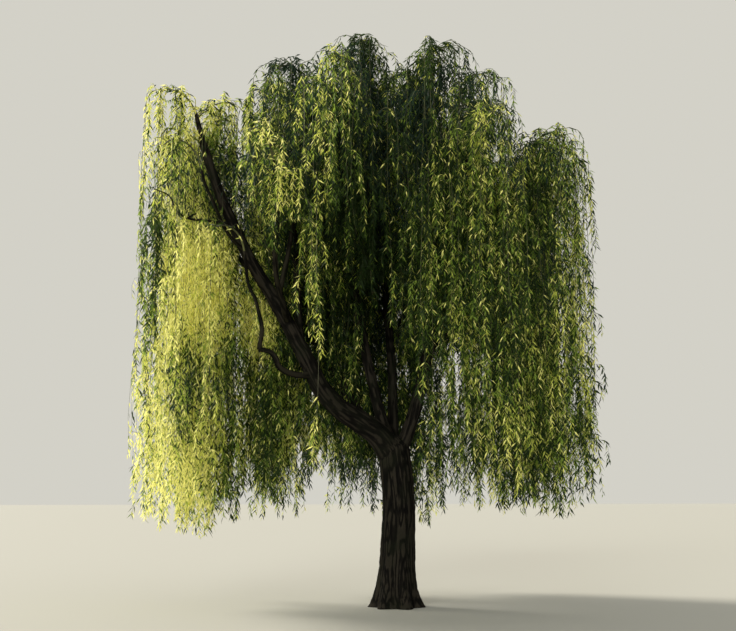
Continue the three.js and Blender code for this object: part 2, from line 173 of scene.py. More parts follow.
# More stems over the gap beside the bough's top: where each leaves it, and its heading
GAP_STEMS = {
    "great_bough": [(0.88, 0.5), (0.92, 1.3), (0.95, -0.1), (0.985, 0.75), (0.99, 0.15)],
}
FIRST_SHOOT = 0.15  # as a share of the stem
SHOOT_SPAN = 0.83
SHOOT_THROW = 0.95
LEAST_THROW = 0.2  # as a share of the full one
SHORTEST_THROW = 0.14
NARROWER = 0.8  # at each next try
SHOOT_ROOM = 0.04
SHOOT_RADIUS = 0.01
SHOOT_END_RADIUS = 0.0025
SHOOT_SWAY = 0.13
SHOOT_DROP_POINTS = 10
SWAY_WAVES = (1.1, 0.8)  # radians to the metre across the way out, and the share along it
SWAY_ALONG = 0.6
LEAST_DROP = 1e-3
HEM_UNEVENNESS = 1.5
LIMB_ROOM = 0.05  # kept free between a shoot and a limb
FOOT_POINTS = 2  # of a line, which may be near its limb
LIMB_FOOT_POINTS = 3
LIMB_EDGE_ROOM = 0.1
TRUNK_SAMPLES = 30  # where the room beside the limbs is measured
LIMB_SAMPLE_SPACING = 0.1

# Shoots that hang from the limbs themselves: the share of the limb where they begin, their
# spacing, the way they leave it or None for both sides, and their throws and drops
LIMB_SHOOTS = {
    "great_bough": (0.5, 0.17, 0.9, (0.4, 0.95), (1.4, 4)),
    "twiggy_branch": (0.4, 0.11, None, (0.08, 0.3), (2, 4.5)),
}
OTHER_LIMB_SHOOTS = (0.5, 0.42, None, (0.4, 0.9), (1.2, 3.8))
LAST_LIMB_SHOOT = 0.98
LIMB_SHOOT_TURN = 1.2  # how far the ways of two such shoots may differ

# Side strands, and the leaves on both
SIDE_SPACING = 0.64
SIDE_THROW = (0.1, 0.42)
SIDE_DROP = (0.45, 1.5)
SIDE_SWAY = 0.05
SIDE_RADIUS = 0.0045
SIDE_END_RADIUS = 0.0018
FIRST_STRAND = 0.15  # from the shoot's foot
STRAND_DRIFT = 0.03  # of its start, as a share of the way to the shoot's end
STRAND_OVERHANG = 0.1  # below the shoot's end, at most
NARROW_THROW = (0.08, 0.3)  # the most throw, and what each metre of drop adds
SHORTEST_STRAND = 0.25
STRAND_EDGE_ROOM = 0.05
STRAND_LIMB_ROOM = 0.02
SPRIG_SPACING = 0.13  # along the stems over the crown
FIRST_SPRIG = 0.1
SPRIG_THROW = (0.15, 0.5)
SPRIG_DROP = (0.3, 1.1)
LEAF_LENGTH = (0.125, 0.19)
DARK_LEAF_SCALE = 1.4  # of the leaves in the shade, which fill the crown
LEAF_SPLAY = (0.35, 1.2)  # how far a leaf stands out, as a tangent
LEAF_HANG = 0.5  # how strongly it follows its twig and hangs down
LEAF_TURN = 0.4
LEAF_ROLL = 1
FIRST_LEAF = 0.1
FIRST_SIDE_LEAF = 0.06
STEM_LEAF_SPACING = 0.04
SHOOT_LEAF_SPACING = 0.085
SIDE_LEAF_SPACING = 0.031
SPRAY_LENGTH = 0.5  # of a shoot whose leaves share a colour
CLEAR_SHARE = 0.88  # left out, of the leaves before the limbs that the photo shows clear
SHOOT_MOST_HIDING = 0.12  # the share of a shoot that may hang before them
STEM_MOST_HIDING = 0.3
COURSE_SAMPLES = 40
# Those limbs, the share of each that shows, and how far from its course it stays clear
CLEAR_LIMBS = [
    ("great_bough", 0.9, 0.3),
    ("crooked_arm", 1, 0.3),
    ("crooked_arm_tip", 0.6, 0.3),
    ("twiggy_branch", 1, 0.2),
    ("twig_stub", 1, 0.2),
]

# How each kind of hanging line leaves its start: out and up, as shares of its throw
ARCH = np.array([(0, 0), (0.3, 0.12), (0.6, 0.15), (0.85, 0.04), (1, -0.25)])
SIDE_ARCH = np.array([(0, 0), (0.7, -0.1), (1, -0.9)])
SPRIG_ARCH = np.array([(0, 0), (0.55, 0.45), (1, 0)])

# A blade's corners along it, across it and under it, as shares of its length
FULL_LEAF = np.array(
    [(0, 0, 0), (0.34, 0.095, 0.01), (0.42, 0, 0.045), (0.34, -0.095, 0.01), (0.98, 0, 0.12)]
)
FULL_FACES = np.array([(0, 1, 2), (0, 2, 3), (1, 4, 2), (2, 4, 3)])
FOLDED_LEAF = np.array([(0, 0, 0), (0.36, 0.095, -0.03), (0.36, -0.095, -0.03), (1, 0, 0.05)])
FOLDED_FACES = np.array([(0, 1, 3), (0, 3, 2)])

# The studio
CROWN_CENTRE = Vector((-1, 0, 7))  # where the lamps point
LAMPS = [  # where each stands, its strength, softness and colour
    ("key", (-19, 15, 22), 5, 0.3, (1, 0.94, 0.8)),
    ("fill", (-13, -20, 13), 2.4, 0.6, (0.98, 1, 0.9)),
]
SKY = {"Color": (0.93, 0.91, 0.82, 1), "Strength": 0.7}
FLOOR_HALF = 300
FLOOR_FINISH = {"Base Color": (0.38, 0.375, 0.35, 1), "Roughness": 0.9}

# The camera looks at the tree as the photo's did, from far enough back to show all of it
VIEW_ANGLE = math.radians(13)
CAMERA_DISTANCE = 26.0
CAMERA_HEIGHT = 2.7
CAMERA_PITCH = math.radians(10)
SENSOR_WIDTH = 36
LENS = 50
FAR_CLIP = 500
PHOTO_SIDE = -7.0  # where the photo's own camera stood, beside the trunk and before it
PHOTO_DISTANCE = 17.0

# The limbs that the photo shows: points of each one's course, with its radius there
COURSES = {
    "great_bough": [
        [-0.48, -0.08, 4.2, 0.28],
        [-0.98, -0.18, 4.53, 0.272],
        [-1.51, -0.27, 4.84, 0.252],
        [-1.98, -0.38, 5.29, 0.233],
        [-2.34, -0.46, 5.92, 0.205],
        [-2.82, -0.55, 6.77, 0.184],
        [-3.33, -0.63, 7.6, 0.165],
        [-3.84, -0.7, 8.37, 0.15],
        [-4.42, -0.78, 9.5, 0.137],
        [-4.74, -0.83, 10.23, 0.127],
        [-5.09, -0.9, 11.24, 0.104],
        [-5.3, -0.93, 12, 0.034],
    ],
    "crooked_arm": [
        [-2.61, -0.64, 5.6, 0.078],
        [-2.91, -0.8, 5.65, 0.076],
        [-3.14, -0.9, 5.77, 0.074],
        [-3.22, -0.96, 5.95, 0.072],
        [-3.37, -1, 6.11, 0.066],
        [-3.64, -1.04, 6.15, 0.06],
    ],
    "crooked_arm_tip": [
        [-3.6, -1.08, 6.41, 0.053],
        [-3.59, -1.12, 6.69, 0.051],
        [-3.68, -1.17, 7.03, 0.048],
        [-3.79, -1.22, 7.38, 0.045],
        [-3.96, -1.3, 7.7, 0.041],
        [-4.1, -1.65, 8.4, 0.034],
    ],
    "twiggy_branch": [
        [-4.72, -0.82, 9.28, 0.034],
        [-5.02, -0.86, 9.3, 0.03],
        [-5.43, -0.9, 9.32, 0.028],
        [-5.7, -0.94, 9.5, 0.023],
        [-5.8, -0.96, 9.74, 0.02],
        [-5.93, -0.98, 9.87, 0.017],
        [-6.23, -1.02, 9.96, 0.013],
    ],
    "twig_stub": [
        [-5.31, -0.9, 9.39, 0.022],
        [-5.21, -0.9, 9.45, 0.014],
    ],
}

# Name, parent, where along the parent it leaves, radius there, middle of the mass over its tip,
# and the height of that mass's lowest shoots
BOUGHS = [
    ("great_bough", "trunk", 0.86, 0.285, (-5.3, -0.7), 2.2),
    ("upright_bough", "trunk", 0.9, 0.158, (-1.7, 0.9), 3.6),
    ("right_bough", "trunk", 0.85, 0.182, (2.2, 1.1), 6.4),
    ("back_bough", "trunk", 0.88, 0.148, (0.5, 2.9), 3),
    ("front_bough", "trunk", 0.84, 0.14, (1.9, -1.2), 6.8),
    ("rear_left_bough", "trunk", 0.92, 0.142, (-3.3, 2.4), 2.6),
    ("crooked_arm", "great_bough", 0.3, 0.084, None, None),
    ("crooked_arm_tip", "crooked_arm", 1, 0.056, (-4.3, -2.2), 2.4),
    ("twiggy_branch", "great_bough", 0.715, 0.038, None, None),
    ("inner_left_branch", "great_bough", 0.38, 0.122, (-3.1, 0.6), 2.8),
    ("middle_left_branch", "great_bough", 0.5, 0.072, (-3, -1.3), 8.9),
    ("low_left_branch", "great_bough", 0.57, 0.084, (-5.4, 1.1), 1.8),
    ("fine_left_branch", "great_bough", 0.64, 0.046, (-5.6, -2.4), 1.9),
    ("front_left_branch", "great_bough", 0.44, 0.08, (-4, -4), 2.3),
    ("top_right_branch", "upright_bough", 0.5, 0.084, (0.3, 0.3), 8.2),
    ("top_back_branch", "upright_bough", 0.62, 0.072, (-1.4, 2.8), 3.4),
    ("top_front_branch", "upright_bough", 0.56, 0.076, (-1.1, -1.1), 7.8),
    ("front_window_branch", "upright_bough", 0.44, 0.07, (-2.1, -3), 8),
    ("right_branch", "right_bough", 0.4, 0.092, (4.1, 0.5), 2.2),
    ("right_back_branch", "right_bough", 0.52, 0.084, (3.4, 2.6), 2.3),
    ("right_front_branch", "right_bough", 0.34, 0.08, (3.8, -1.6), 2.6),
    ("far_back_branch", "back_bough", 0.46, 0.082, (-0.3, 4.7), 2.3),
    ("back_right_branch", "back_bough", 0.34, 0.08, (1.8, 4.2), 2),
    ("front_branch", "front_bough", 0.36, 0.078, (0.9, -4.3), 2.6),
    ("front_right_branch", "front_bough", 0.46, 0.078, (2.8, -3.4), 2.4),
    ("front_inner_branch", "front_bough", 0.56, 0.064, (0.4, -2.4), 6.2),
    ("rear_left_branch", "rear_left_bough", 0.5, 0.076, (-4.9, 3), 1.9),
    ("back_left_branch", "rear_left_bough", 0.34, 0.074, (-2.5, 4.5), 2.1),
    ("twig_stub", "twiggy_branch", 0.5, 0.027, None, None),
]

# The grain of the bark and the moss on it
GRAIN_STRETCH = (1, 1, 0.22)
GRAIN_NOISE = {"Scale": 60, "Detail": 6, "Roughness": 0.65}
GRAIN_SHARE = 0.5  # of the grain's noise that adds to the relief
GRAIN_BUMP = {"Strength": 0.7, "Distance": 0.008}
# where the bark's colours stand on the relief, darker in the fissures partly as painted shade
DEPTH_STOPS = (0.3, 0.75, 1.25 / 1.3)
MOSS_NOISE = {"Scale": 1.6, "Detail": 4}
MOSS_STOPS = [(0.48, (0, 0, 0)), (0.72, (0.55, 0.55, 0.55))]
BARK_FINISH = {"Roughness": 0.92, "Specular IOR Level": 0.07}
TWIG_FINISH = {"Roughness": 0.7}
TWIG_NOISE = {"Scale": 3, "Detail": 3}
TWIG_STOPS = [(0.35, (0.03, 0.032, 0.012)), (0.65, (0.085, 0.09, 0.025))]

# Bark in a fissure, halfway up and on a ridge, and the moss that tints it
# All are near-black as painted shade of limbs seen against the light; the fissures' darkness is
# partly the bark's own colour and partly painted shade
OLD_BARK = [(0.0012, 0.001, 0.0009), (0.0045, 0.0038, 0.0029), (0.017, 0.0142, 0.0106)]
OLD_MOSS = (0.0065, 0.0082, 0.0038)
YOUNG_BARK = [(0.0015, 0.0013, 0.0011), (0.0052, 0.0045, 0.0032), (0.017, 0.0148, 0.0098)]
YOUNG_MOSS = (0.008, 0.0096, 0.0045)

# Leaf colours from full sun to deep shade, and what shines through them
LEAF_COLOURS = [
    ("sunlit", (0.93, 0.89, 0.28), (1, 0.97, 0.37)),
    ("bright", (0.53, 0.56, 0.11), (0.74, 0.79, 0.14)),
    ("green", (0.19, 0.275, 0.042), (0.32, 0.44, 0.058)),
    ("leaf", (0.066, 0.112, 0.018), (0.12, 0.2, 0.027)),
    ("deep", (0.013, 0.029, 0.006), (0.028, 0.055, 0.01)),
    ("cool", (0.014, 0.03, 0.018), (0.026, 0.05, 0.028)),
]
LEAF_FINISH = {"Roughness": 0.5, "Specular IOR Level": 0.2}
THROUGH_SHARE = 0.48  # of the light, which shines through a leaf
LIGHT_STEPS = [0.77, 0.61, 0.46, 0.3]  # least light for each colour but the last two
FULL_COLOURS = 2  # the lightest ones, whose leaves on the shoots have more faces
DEEP = 4
COOL = 5

# Where the photo shows sunlit and shaded sprays: x and z of the middle, half the width and
# height, and how much lighter or darker they are
LIGHT_PLACES = [
    (-4.9, 7.9, 1.2, 1.4, 0.4),
    (-5.5, 3.6, 1, 2, 0.26),
    (-3.4, 6.8, 0.45, 0.8, 0.6),
    (-2.7, 4.4, 0.7, 1.3, 0.25),
    (-1.6, 3.6, 0.8, 0.8, 0.2),
    (-2.2, 9, 0.35, 1.2, 0.25),
    (-3.7, 9.6, 0.3, 1, 0.2),
    (-6.2, 8.3, 0.4, 1.5, -0.4),
    (-5.3, 5.5, 0.3, 1.2, -0.3),
    (-3.8, 4.2, 0.8, 1.9, -0.08),
    (-1.6, 8.6, 1.6, 2.8, -0.13),
    (-1.7, 6.9, 1, 1.7, 0.2),
    (-4.5, 10.7, 0.45, 1.2, -0.3),
]
PLACE_RAGGEDNESS = (0.25, 0.9)  # how far a place's edge wanders, across and up
PLACE_EDGE = 1.6  # where a place ends, in its own half widths

# The light of every spray, and how much more there is to the left and outside. An edge is
# where that begins, to the left, outward or to the front, and how wide it is.
PLAIN_LIGHT = 0.27
LEFT_LIGHT = 0.2
LEFT_EDGE = (1.2, 3.4)
OUTER_LIGHT = 0.22
OUTER_EDGE = (0.5, 0.4)
FRONT_EDGE = (-2.5, 2)
PATCH_LIGHT = 0.14
STREAK_LIGHT = 0.26

# What each leaf's painted sun and shade has of its shoot's luck, its spray's and its own
SHOOT_LUCK = 0.24
SPRAY_LUCK = 0.18
LEAF_LUCK = (-0.06, 0.12)
SHADED_SHARE = 0.33  # of any spray's leaves, which hang in the shade of the others
SHADE = 0.45  # how much darker those are
GLINT_SHARE = 0.15  # of any spray's leaves, which catch the sun
GLINT = 0.4  # how much lighter those are
COOL_LEVEL = 0.08  # of the noise, above which deep shade is bluish

rng = np.random.default_rng(SEED)
NOISE_TABLE = np.random.default_rng(NOISE_SEED).uniform(-1, 1, NOISE_VALUES)


def chance(index, salt):
    """A number from 0 to 1 that looks random and is the same each time."""
    wave = math.sin(index * CHANCE_STEPS[0] + salt * CHANCE_STEPS[1]) * CHANCE_SCALE
    return wave - math.floor(wave)


def smooth(value):
    value = np.clip(value, 0, 1)
    return value * value * (3 - 2 * value)


def noise(points, scale=1, begin=0):
    """Smooth noise from -1 to 1, with features about one unit across before the scale."""
    points = points * scale + begin
    cell = np.floor(points).astype(np.int64)
    part = smooth(points - cell)
    total = np.zeros(len(points))
    for corner in np.ndindex(2, 2, 2):
        mixed = (cell + corner) * NOISE_PRIMES
        key = np.bitwise_xor.reduce(mixed, axis=1) % NOISE_VALUES
        weight = np.prod(np.where(np.array(corner) == 1, part, 1 - part), axis=1)
        total += NOISE_TABLE[key] * weight
    return total


def unit(vectors):
    return vectors / np.maximum(np.linalg.norm(vectors, axis=-1, keepdims=True), TINY)


class Curve:
    """A uniform Catmull-Rom curve through points, read by share of its length."""

    def __init__(self, points):
        points = np.array(points, float)
        before = 2 * points[0] - points[1]
        after = 2 * points[-1] - points[-2]
        self.knots = np.vstack([before, points, after])
        self.shares = np.linspace(0, 1, CURVE_DIVISIONS + 1)
        steps = np.diff(self.by_knot(self.shares), axis=0)
        self.lengths = np.concatenate([[0], np.cumsum(np.linalg.norm(steps, axis=1))])
        self.length = self.lengths[-1]

    def by_knot(self, knot_share):
        spans = len(self.knots) - 3
        place = np.atleast_1d(knot_share) * spans
        i = np.minimum(place.astype(int), spans - 1)
        t = (place - i)[:, None]
        p0, p1, p2, p3 = (self.knots[i + k] for k in range(4))
        leave = 0.5 * (p2 - p0)
        arrive = 0.5 * (p3 - p1)
        bend = -3 * p1 + 3 * p2 - 2 * leave - arrive
        twist = 2 * p1 - 2 * p2 + leave + arrive
        return p1 + leave * t + bend * t**2 + twist * t**3

    def knot_share(self, share):
        return np.interp(np.asarray(share) * self.length, self.lengths, self.shares)

    def at(self, share):
        return self.by_knot(self.knot_share(share))

    def point(self, share):
        return self.at(share)[0]

    def way(self, share):
        near = np.clip([share - WAY_STEP, share + WAY_STEP], 0, 1)
        first, second = self.at(near)
        return unit(second - first)


def outwardness(points, room=0.0):
    """0 over the crown's middle and 1 at a stated room inside its oval's edge."""
    apart = (points[..., :2] - CROWN_MIDDLE) / (CROWN_RADIUS - room)
    return (apart**2).sum(-1)


def dome_height(point):
    fall = 1 - DOME_FALL * outwardness(point)
    return CROWN_SHOULDER + (CROWN_TOP - CROWN_SHOULDER) * math.sqrt(fall)


def trunk_curve():
    aside = BOW_SHARES * TRUNK_BOW + LEAN_SHARES * TRUNK_LEAN
    levels = np.concatenate([[-TRUNK_OFFCUT], TRUNK_LEVELS * TRUNK_HEIGHT])
    return Curve(np.stack([aside, np.zeros(len(levels)), levels], axis=1))


def trunk_radius(share, angle):
    height = share * (TRUNK_HEIGHT + TRUNK_OFFCUT) - TRUNK_OFFCUT
    taper = TRUNK_RADIUS + (TRUNK_TOP_RADIUS - TRUNK_RADIUS) * share
    flare = FLARE_RADIUS * np.exp(-height / FLARE_HEIGHT)
    lobe = 1 + LOBE_DEPTH * np.exp(-height / LOBE_HEIGHT) * np.cos(ROOT_LOBES * angle)
    over_dome = np.maximum(0, (share - 1 + DOME_SHARE) / DOME_SHARE)
    return (taper + flare) * lobe * np.sqrt(1 - (1 - DOME_FLATNESS) * over_dome**2)


def bough_radius(bough, share):
    foot = bough["radius"]
    radius = TIP_RADIUS + (foot - TIP_RADIUS) * (1 - share) ** TAPER_POWER
    if bough["name"] in COURSES:
        radii = [foot] + [row[3] for row in COURSES[bough["name"]]]
        knots = np.linspace(0, 1, len(radii))
        radius = np.interp(bough["curve"].knot_share(share), knots, radii)
    if bough["at"] == 1:
        return radius
    collar = np.exp(-share * bough["curve"].length / (COLLAR_LENGTH * foot))
    return radius + COLLAR_SHARE * foot * collar


def tip_of(over, index):
    apart = np.array(over) - CROWN_MIDDLE
    tip = np.array(over) - TIP_SETBACK * unit(apart)
    unevenness = DOME_ROUGHNESS * (chance(index, TIP_SALT) - 0.5)
    return np.array([tip[0], tip[1], dome_height(tip) - TIP_DEPTH + unevenness])


def bough_curve(name, over, start, index):
    if name in COURSES:
        return Curve([start] + [row[:3] for row in COURSES[name]])
    way = tip_of(over, index) - start
    spread = np.array([way[0], way[1], 0])
    side = np.cross(UP, spread)
    points = []
    for t in np.linspace(0, 1, COURSE_STEPS + 1):
        wander = math.sin(2 * math.pi * (t + chance(index, SWAY_SALT))) * math.sin(math.pi * t)
        point = start + spread * (1 - (1 - t) ** SPREAD_POWER) + side * SWAY * wander
        points.append(point + UP * way[2] * t**RISE_POWER)
    return Curve(points)


def grown_boughs():
    """Each bough's facts and its curve, in the order of the table."""
    curves = {"trunk": trunk_curve()}
    boughs = []
    for index, (name, parent, at, radius, over, hem) in enumerate(BOUGHS):
        curves[name] = bough_curve(name, over, curves[parent].point(at), index)
        boughs.append(dict(name=name, at=at, radius=radius, over=over, hem=hem, curve=curves[name]))
    return boughs


def mesh_object(name, vertices, faces, material):
    """An object from arrays."""
    mesh = bpy.data.meshes.new(name)
    count, corners = faces.shape
    mesh.vertices.add(len(vertices))
    mesh.vertices.foreach_set("co", vertices.astype(np.float32).ravel())
    mesh.loops.add(count * corners)
    mesh.loops.foreach_set("vertex_index", faces.astype(np.int32).ravel())
    mesh.polygons.add(count)
    mesh.polygons.foreach_set("loop_start", np.arange(count, dtype=np.int32) * corners)
    mesh.update(calc_edges=True)
    mesh.materials.append(material)
    made = bpy.data.objects.new(name, mesh)
    bpy.context.scene.collection.objects.link(made)
    return made


def carried_frames(points):
    """Directions along a line of points, and two directions across, carried along it."""
    ways = unit(np.gradient(points, axis=0))
    normals = []
    normal = FIRST_NORMAL
    for way in ways:
        normal = unit(normal - way * way.dot(normal))
        normals.append(normal)
    normals = np.array(normals)
    return np.cross(ways, normals), normals


def barked_limb(curve, shares, radius_at, sides, grain_place):
    """Rings of a limb with fissured bark, each corner's place in the grain, and its relief."""
    points = curve.at(shares)
    across, normals = carried_frames(points)
    angles = np.arange(sides) * 2 * math.pi / sides
    share, angle = np.meshgrid(shares, angles, indexing="ij")
    radius = radius_at(share, angle)
    steps = np.linalg.norm(np.diff(points, axis=0), axis=1)
    along = np.concatenate([[0], np.cumsum(steps)])[:, None] + np.zeros(sides)
    grain = np.stack([radius * np.cos(angle), radius * np.sin(angle), along], axis=-1)
    relief = bark_relief(grain.reshape(-1, 3) + grain_place).reshape(radius.shape)
    radius = radius + (relief - PLAIN_RELIEF) * np.minimum(BARK_DEPTH, DEPTH_PER_RADIUS * radius)
    vertices = points[:, None] + radius[..., None] * (
        np.cos(angle)[..., None] * across[:, None] + np.sin(angle)[..., None] * normals[:, None]
    )
    return vertices, grain + grain_place, relief


def ridges(values, gain):
    return np.clip(np.abs(values) * gain, 0, 1) ** RIDGE_POWER


def bark_relief(grain):
    """From 0 in a fissure to 1 on a ridge, where the fissures run along the grain."""
    place = grain / RIDGE_SIZE
    wander = [noise(place, *use) for use in RIDGE_WANDERS]
    wander = np.stack([*wander, 0 * place[:, 0]], axis=1)
    coarse = ridges(noise(place + WANDER * wander), RIDGE_GAIN)
    fine = ridges(noise(place, *FINE_RIDGES), FINE_GAIN)
    cracks = 0.5 + 0.5 * noise(place, *CRACKS)
    plain_share, fine_share, crack_share = RELIEF_SHARES
    return coarse * (plain_share + fine_share * fine + crack_share * cracks)


def ring_faces(rings, sides, first=0):
    """Quads between rings of corners that follow each other in the vertex list."""
    ring, side = np.meshgrid(np.arange(rings - 1), np.arange(sides), indexing="ij")
    here = first + ring * sides
    beside = (side + 1) % sides
    quads = [here + side, here + beside, here + sides + beside, here + sides + side]
    return np.stack(quads, axis=-1).reshape(-1, 4)


def limb_object(name, limbs, material):
    """One object from several barked limbs, each a (vertices, grain, relief) grid."""
    vertices, grains, reliefs, faces = [], [], [], []
    first = 0
    for grid, grain, relief in limbs:
        rings, sides = relief.shape
        vertices.append(grid.reshape(-1, 3))
        grains.append(grain.reshape(-1, 3))
        reliefs.append(relief.ravel())
        faces.append(ring_faces(rings, sides, first))
        first += rings * sides
    made = mesh_object(name, np.concatenate(vertices), np.concatenate(faces), material)
    for key, kind, field, values in [
        ("grain", "FLOAT_VECTOR", "vector", grains),
        ("relief", "FLOAT", "value", reliefs),
    ]:
        corners = made.data.attributes.new(key, kind, "POINT").data
        corners.foreach_set(field, np.concatenate(values).astype(np.float32).ravel())
    return made


def closed_ends(grid, grain, relief):
    """The same limb with a small ring added at each end, so that both ends are closed."""
    limb = [np.concatenate([rows[:1], rows, rows[-1:]]) for rows in (grid, grain, relief)]
    for ring in (limb[0][0], limb[0][-1]):
        middle = ring.mean(axis=0)
        ring[:] = middle + (ring - middle) * END_RING_SCALE
    return limb


def barked_trunk(curve):
    shares = np.linspace(TRUNK_OFFCUT / curve.length, 1, TRUNK_RINGS)
    grid, grain, relief = barked_limb(curve, shares, trunk_radius, TRUNK_SIDES, TRUNK_GRAIN)
    grid[0, :, 2] = 0
    grid[..., 2] = np.maximum(grid[..., 2], 0)
    return closed_ends(grid, grain, relief)


def is_thick(bough):
    return bough["radius"] >= THICK_RADIUS


def barked_bough(bough, index):
    sides, spacing = THIN_SIDES, THIN_RING_SPACING
    if is_thick(bough):
        sides, spacing = THICK_SIDES, RING_SPACING
    if bough["name"] == "great_bough":
        sides = GREAT_SIDES
    shares = np.linspace(0, 1, max(FEWEST_RINGS, round(bough["curve"].length / spacing)))
    grain_place = BOUGH_GRAIN + index * BOUGH_GRAIN_STEP

    def radius_at(share, _):
        return bough_radius(bough, share)

    return closed_ends(*barked_limb(bough["curve"], shares, radius_at, sides, grain_place))


def limb_tree(boughs):
    """A search tree over points along all limbs, and the limb's radius at each."""
    shares = np.linspace(0, 1, TRUNK_SAMPLES)
    places, radii = [trunk_curve().at(shares)], [trunk_radius(shares, 0)]
    for bough in boughs:
        shares = np.linspace(0, 1, round(bough["curve"].length / LIMB_SAMPLE_SPACING))
        places.append(bough["curve"].at(shares))
        radii.append(bough_radius(bough, shares))
    places, radii = np.concatenate(places), np.concatenate(radii)
    tree = KDTree(len(places))
    for i, place in enumerate(places):
        tree.insert(place, i)
    tree.balance()
    return tree, radii


def clear_of_limbs(points, room):
    """Which points stay a stated room away from every limb."""
    found = [limbs_near.find(point) for point in points]
    near = np.array([row[1] for row in found])
    apart = np.array([row[2] for row in found])
    return apart > limb_radii[near] + room


def in_own_space(mass, points, room):
    """Whether all points lie nearer to the mass's middle than to another's, in the oval."""
    if (outwardness(points, room) > 1).any():
        return False
    middle = np.array(mass["over"])
    for other in masses:
        if other is mass:
            continue
        apart = np.array(other["over"]) - middle
        reach = (points[:, :2] - middle) @ unit(apart)
        if (reach > np.linalg.norm(apart) / 2 - room).any():
            return False
    return True


def level_way(angles):
    angles = np.asarray(angles)
    return np.stack([np.cos(angles), np.sin(angles), 0 * angles], axis=-1)


def outward_angle(over):
    apart = np.array(over) - CROWN_MIDDLE
    return math.atan2(apart[1], apart[0])


def arched(foot, along, outward, reach):
    """A stem that rises along one way, arches outward and bends down."""
    p = [foot + reach * (along * rise + outward * out) for rise, out in STEM_LEGS]
    t = np.linspace(0, 1, STEM_POINTS)[:, None]
    early = p[0] * (1 - t) ** 3 + 3 * p[1] * t * (1 - t) ** 2
    return early + 3 * p[2] * t**2 * (1 - t) + p[3] * t**3


def tip_stem(mass):
    """The stem that carries a bough's tip on."""
    along = mass["curve"].way(1)
    foot = mass["curve"].point(1) - along * STEM_RADIUS
    return arched(foot, along, level_way(outward_angle(mass["over"])), STEM_REACH)


def side_stem(mass, share, heading, longest):
    """A stem that leaves the last part of a bough, as long as its space allows, or None."""
    outward = level_way(heading)
    along = unit(SIDE_STEM_RISE * UP + SIDE_STEM_SPREAD * outward)
    reach = longest
    while reach > SHORTEST_REACH:
        points = arched(mass["curve"].point(share), along, outward, reach)
        if in_own_space(mass, points[FOOT_POINTS:], SHOOT_ROOM):
            return points
        reach *= SHORTER
    return None


def side_stems_of(mass, index):
    """All side stems of one mass: all round the last part of its bough, and over a gap."""
    least, most = SIDE_STEM_REACH
    first, part = SIDE_STEM_SHARES
    found = []
    for k in range(SIDE_STEMS):
        share = first + part * (k + chance(index, k + STEM_PLACE_SALT)) / SIDE_STEMS
        heading = outward_angle(mass["over"]) + (k + 1) * GOLDEN_ANGLE
        longest = least + (most - least) * chance(index, k + STEM_REACH_SALT)
        found.append(side_stem(mass, share, heading, longest))
    for share, heading in GAP_STEMS.get(mass["name"], []):
        found.append(side_stem(mass, share, heading, most))
    stems = [stem for stem in found if stem is not None]
    return [stem for stem in stems if before_bough(stem).mean() < STEM_MOST_HIDING]


def hanging(starts, angles, throws, drops, arch, drop_points, sway):
    """Lines (n, points, 3) that arch out from their starts and then hang down."""
    ways = level_way(angles)
    across = np.cross(UP, ways)
    out = np.concatenate([arch[:, 0], np.ones(drop_points)])
    rise = throws[:, None] * arch[:, 1]
    down = np.linspace(0, 1, drop_points + 1)[1:]
    hang = rise[:, -1:] + (-drops[:, None] - rise[:, -1:]) * down
    heights = np.concatenate([rise, hang], axis=1)
    lines = starts[:, None] + ways[:, None] * (throws[:, None] * out)[..., None]
    lines[..., 2] += heights
    swing = np.clip(-heights / np.maximum(drops[:, None], LEAST_DROP), 0, 1) * sway
    phase = rng.uniform(0, 2 * math.pi, (2, len(starts), 1))
    bends = heights * SWAY_WAVES[0]
    lines += across[:, None] * (swing * np.sin(bends + phase[0]))[..., None]
    along = SWAY_ALONG * swing * np.sin(bends * SWAY_WAVES[1] + phase[1])
    lines += ways[:, None] * along[..., None]
    return lines


def shoot_line(start, angle, throw, drop):
    one = (start[None], [angle], np.array([throw]), np.array([drop]))
    return hanging(*one, ARCH, SHOOT_DROP_POINTS, SHOOT_SWAY)[0]


def fitted_shoot(mass, start, angle, end, throw):
    """The widest shoot that stays in its mass's space and clear of the limbs, or None."""
    while throw > SHORTEST_THROW:
        line = shoot_line(start, angle, throw, start[2] - end)
        inside = in_own_space(mass, line, SHOOT_ROOM)
        if inside and clear_of_limbs(line[FOOT_POINTS:], LIMB_ROOM).all():
            return line
        throw *= NARROWER
    return None


def along_line(points, share):
    """A point at a share of the steps along a line of points."""
    place = share * (len(points) - 1)
    i = min(int(place), len(points) - 2)
    return points[i] + (points[i + 1] - points[i]) * (place - i)


def stem_shoots(mass, index, stem, count, salt):
    """Shoots all round a stem, each as wide as its space allows."""
    lines = []
    outward = stem[-1] - stem[0]
    heading = math.atan2(outward[1], outward[0])
    for k in range(count):
        start = along_line(stem, FIRST_SHOOT + SHOOT_SPAN * (k + 0.5) / count)
        turn = 0 if k == count - 1 else (k + 1) * GOLDEN_ANGLE
        end = mass["hem"] + HEM_UNEVENNESS * chance(index, k + salt)
        width = LEAST_THROW + (1 - LEAST_THROW) * chance(index, k + salt + THROW_SALT)
        line = fitted_shoot(mass, start, heading + turn, end, SHOOT_THROW * width)
        if line is not None:
            lines.append(line)
    return lines


def grow_mass(mass, index):
    """The stems and shoots of one mass, as the model's rule has them, with more between."""
    grown = [tip_stem(mass)] + side_stems_of(mass, index)
    lines = stem_shoots(mass, index, grown[0], TIP_SHOOTS, TIP_SHOOT_SALT)
    for k, stem in enumerate(grown[1:]):
        salt = SIDE_SHOOT_SALT + SIDE_SHOOT_SALT_STEP * k
        lines += stem_shoots(mass, index, stem, SIDE_STEM_SHOOTS, salt)
    return grown, lines


